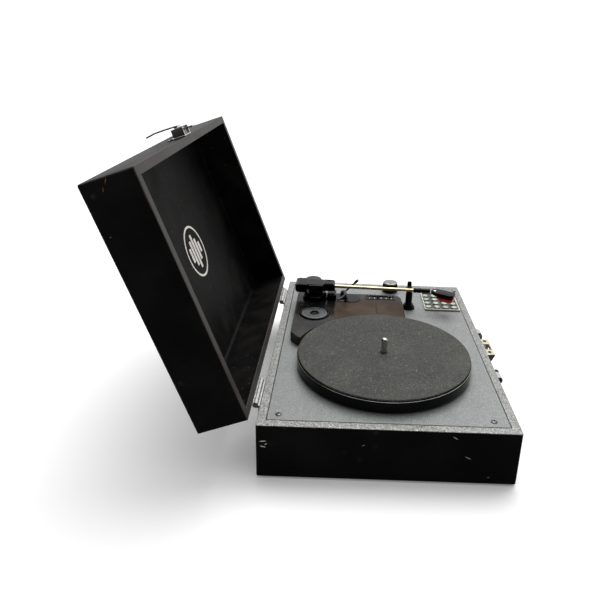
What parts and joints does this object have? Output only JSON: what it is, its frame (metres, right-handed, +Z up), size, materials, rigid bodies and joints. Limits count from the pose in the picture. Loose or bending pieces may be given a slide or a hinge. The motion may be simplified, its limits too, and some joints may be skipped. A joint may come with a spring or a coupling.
{
  "type": "suitcase record player",
  "caption": "Portable record player in a black suitcase: hinged lid, belt-driven platter, pivoting tonearm, push-key pad, toggle latch and carrying handle.",
  "frame": {"origin": "middle of the base's flat underside, with the feet reaching 2 mm below it", "axes": "+Z up; +Y towards the hinges; -Y towards the handle and strike; +X to the tonearm side, the listener's right"},
  "size_m": [0.36, 0.4075, 0.3142],
  "materials": {
    "case_black": "black textured covering over wooden boards",
    "lining_black": "matte black painted board",
    "bottom_black": "matte black moulding",
    "deck_silver": "silver-grey metallic speckle",
    "platter_black": "gloss black",
    "mat_grey": "fine matte speckle",
    "platform_smoke": "glossy brownish dark grey",
    "chrome": "polished",
    "brass_tone": "polished pale brass tone",
    "soft_black": "satin black",
    "tube_metal": "pale gold tone, polished",
    "stylus_red": "translucent red",
    "key_pale": "pale, domed",
    "knob_grey": "silver-grey",
    "board_green": "circuit board",
    "steel": "plain steel",
    "belt_rubber": "matte rubber"
  },
  "bodies": {
    "base": {"base_case": "case_black", "base_bottom": "bottom_black", "deck_plate": "deck_silver", "spindle": "chrome", "drive_belt": "belt_rubber", "motor": "steel", "tonearm_platform": "platform_smoke", "rest_post": "platter_black", "keypad_bezel": "knob_grey", "keypad_board": "board_green", "main_board": "board_green", "power_jack": "soft_black", "speaker_left": "soft_black", "speaker_right": "soft_black", "hinge_base_left": "chrome", "hinge_base_right": "chrome", "latch_strike": "brass_tone", "handle_bracket_left": "chrome", "handle_bracket_right": "chrome"},
    "platter": {"platter": "platter_black", "slip_mat": "mat_grey"},
    "motor_pulley": {"motor_pulley": "brass_tone"},
    "lid": {"lid_frame": "case_black", "lid_panel": "lining_black", "hinge_lid_left": "chrome", "hinge_lid_right": "chrome", "latch_plate": "chrome"},
    "latch_lever": {"latch_lever": "chrome"},
    "latch_hook": {"latch_hook": "chrome"},
    "handle": {"handle": "soft_black"},
    "adapter_45": {"adapter_45": "knob_grey"},
    "speed_switch": {"speed_switch": "soft_black"},
    "auto_stop_switch": {"auto_stop_switch": "soft_black"},
    "volume_knob": {"volume_knob": "knob_grey"},
    "tone_knob": {"tone_knob": "platform_smoke"},
    "arm_swing": {"arm_yoke": "soft_black"},
    "arm_lift": {"arm_block": "soft_black", "arm_tube": "tube_metal", "headshell": "platter_black", "cartridge": "soft_black", "stylus": "stylus_red"},
    "rest_clip": {"rest_clip": "soft_black"},
    "cue_lever": {"cue_lever": "soft_black"},
    "lift_pin": {"lift_pin": "chrome"},
    "key_1_1": {"key_1_1": "key_pale"},
    "key_1_2": {"key_1_2": "key_pale"},
    "key_1_3": {"key_1_3": "key_pale"},
    "key_1_4": {"key_1_4": "key_pale"},
    "key_2_1": {"key_2_1": "key_pale"},
    "key_2_2": {"key_2_2": "key_pale"},
    "key_2_3": {"key_2_3": "key_pale"},
    "key_2_4": {"key_2_4": "key_pale"},
    "key_3_1": {"key_3_1": "key_pale"},
    "key_3_2": {"key_3_2": "key_pale"},
    "key_3_3": {"key_3_3": "key_pale"},
    "key_3_4": {"key_3_4": "key_pale"},
    "key_4_1": {"key_4_1": "key_pale"},
    "key_4_2": {"key_4_2": "key_pale"},
    "key_4_3": {"key_4_3": "key_pale"},
    "key_4_4": {"key_4_4": "key_pale"}
  },
  "joints": [
    {"name": "platter_spin", "type": "hinge", "parent": "base", "child": "platter", "pos_m": [-0.058, -0.0008, 0.0588], "axis": [0, 0, 1], "continuous": true},
    {"name": "pulley_spin", "type": "hinge", "parent": "base", "child": "motor_pulley", "pos_m": [0.00635, 0.05319, 0.0588], "axis": [0, 0, 1], "continuous": true},
    {"name": "lid_hinge", "type": "hinge", "parent": "base", "child": "lid", "pos_m": [0, 0.13165, 0.0588], "axis": [1, 0, 0], "range_deg": [0, 110.26]},
    {"name": "latch_lever_hinge", "type": "hinge", "parent": "lid", "child": "latch_lever", "pos_m": [0, 0.23326, 0.30521], "axis": [-1, 0, 0], "range_deg": [-90, 0]},
    {"name": "latch_hook_hinge", "type": "hinge", "parent": "latch_lever", "child": "latch_hook", "pos_m": [0, 0.22932, 0.30666], "axis": [1, 0, 0], "range_deg": [-90, 0]},
    {"name": "handle_swing", "type": "hinge", "parent": "base", "child": "handle", "pos_m": [0, -0.1336, 0.044], "axis": [1, 0, 0], "range_deg": [-110, 0]},
    {"name": "adapter_lift_off", "type": "slide", "parent": "base", "child": "adapter_45", "axis": [0, 0, -1], "range_m": [-0.02, 0]},
    {"name": "speed_slide", "type": "slide", "parent": "base", "child": "speed_switch", "axis": [0, 1, 0], "range_m": [0, 0.011]},
    {"name": "auto_stop_slide", "type": "slide", "parent": "base", "child": "auto_stop_switch", "axis": [0, -1, 0], "range_m": [0, 0.006]},
    {"name": "volume_turn", "type": "hinge", "parent": "base", "child": "volume_knob", "pos_m": [0.156, -0.023, 0.0588], "axis": [0, 0, 1], "range_deg": [-140, 140]},
    {"name": "tone_turn", "type": "hinge", "parent": "base", "child": "tone_knob", "pos_m": [0.156, 0.0897, 0.0588], "axis": [0, 0, 1], "range_deg": [-140, 140]},
    {"name": "arm_swing", "type": "hinge", "parent": "base", "child": "arm_swing", "pos_m": [0.097, 0.0845, 0.0588], "axis": [0, 0, 1], "range_deg": [-41, 0]},
    {"name": "arm_lift", "type": "hinge", "parent": "arm_swing", "child": "arm_lift", "pos_m": [0.097, 0.0845, 0.0883], "axis": [1, 0, 0], "range_deg": [-12, 0]},
    {"name": "rest_clip_hinge", "type": "hinge", "parent": "base", "child": "rest_clip", "pos_m": [0.1014, -0.0445, 0.0898], "axis": [0, -1, 0], "range_deg": [0, 105]},
    {"name": "cue_lever_hinge", "type": "hinge", "parent": "base", "child": "cue_lever", "pos_m": [0.106, 0.046, 0.074], "axis": [1, 0, 0], "range_deg": [-55, 0]},
    {"name": "lift_pin_rise", "type": "slide", "parent": "base", "child": "lift_pin", "axis": [0, 0, 1], "range_m": [0, 0.0041]},
    {"name": "key_1_1_press", "type": "slide", "parent": "base", "child": "key_1_1", "axis": [0, 0, -1], "range_m": [0, 0.0012], "stiffness_N_per_m": 300, "springref_m": -0.0006},
    {"name": "key_1_2_press", "type": "slide", "parent": "base", "child": "key_1_2", "axis": [0, 0, -1], "range_m": [0, 0.0012], "stiffness_N_per_m": 300, "springref_m": -0.0006},
    {"name": "key_1_3_press", "type": "slide", "parent": "base", "child": "key_1_3", "axis": [0, 0, -1], "range_m": [0, 0.0012], "stiffness_N_per_m": 300, "springref_m": -0.0006},
    {"name": "key_1_4_press", "type": "slide", "parent": "base", "child": "key_1_4", "axis": [0, 0, -1], "range_m": [0, 0.0012], "stiffness_N_per_m": 300, "springref_m": -0.0006},
    {"name": "key_2_1_press", "type": "slide", "parent": "base", "child": "key_2_1", "axis": [0, 0, -1], "range_m": [0, 0.0012], "stiffness_N_per_m": 300, "springref_m": -0.0006},
    {"name": "key_2_2_press", "type": "slide", "parent": "base", "child": "key_2_2", "axis": [0, 0, -1], "range_m": [0, 0.0012], "stiffness_N_per_m": 300, "springref_m": -0.0006},
    {"name": "key_2_3_press", "type": "slide", "parent": "base", "child": "key_2_3", "axis": [0, 0, -1], "range_m": [0, 0.0012], "stiffness_N_per_m": 300, "springref_m": -0.0006},
    {"name": "key_2_4_press", "type": "slide", "parent": "base", "child": "key_2_4", "axis": [0, 0, -1], "range_m": [0, 0.0012], "stiffness_N_per_m": 300, "springref_m": -0.0006},
    {"name": "key_3_1_press", "type": "slide", "parent": "base", "child": "key_3_1", "axis": [0, 0, -1], "range_m": [0, 0.0012], "stiffness_N_per_m": 300, "springref_m": -0.0006},
    {"name": "key_3_2_press", "type": "slide", "parent": "base", "child": "key_3_2", "axis": [0, 0, -1], "range_m": [0, 0.0012], "stiffness_N_per_m": 300, "springref_m": -0.0006},
    {"name": "key_3_3_press", "type": "slide", "parent": "base", "child": "key_3_3", "axis": [0, 0, -1], "range_m": [0, 0.0012], "stiffness_N_per_m": 300, "springref_m": -0.0006},
    {"name": "key_3_4_press", "type": "slide", "parent": "base", "child": "key_3_4", "axis": [0, 0, -1], "range_m": [0, 0.0012], "stiffness_N_per_m": 300, "springref_m": -0.0006},
    {"name": "key_4_1_press", "type": "slide", "parent": "base", "child": "key_4_1", "axis": [0, 0, -1], "range_m": [0, 0.0012], "stiffness_N_per_m": 300, "springref_m": -0.0006},
    {"name": "key_4_2_press", "type": "slide", "parent": "base", "child": "key_4_2", "axis": [0, 0, -1], "range_m": [0, 0.0012], "stiffness_N_per_m": 300, "springref_m": -0.0006},
    {"name": "key_4_3_press", "type": "slide", "parent": "base", "child": "key_4_3", "axis": [0, 0, -1], "range_m": [0, 0.0012], "stiffness_N_per_m": 300, "springref_m": -0.0006},
    {"name": "key_4_4_press", "type": "slide", "parent": "base", "child": "key_4_4", "axis": [0, 0, -1], "range_m": [0, 0.0012], "stiffness_N_per_m": 300, "springref_m": -0.0006}
  ],
  "couplings": [
    {"joint": "pulley_spin", "follows": "platter_spin", "ratio": 13},
    {"joint": "lift_pin_rise", "follows": "cue_lever_hinge", "m_per_rad": -0.004167},
    {"joint": "latch_hook_hinge", "follows": "latch_lever_hinge", "ratio": 1}
  ]
}
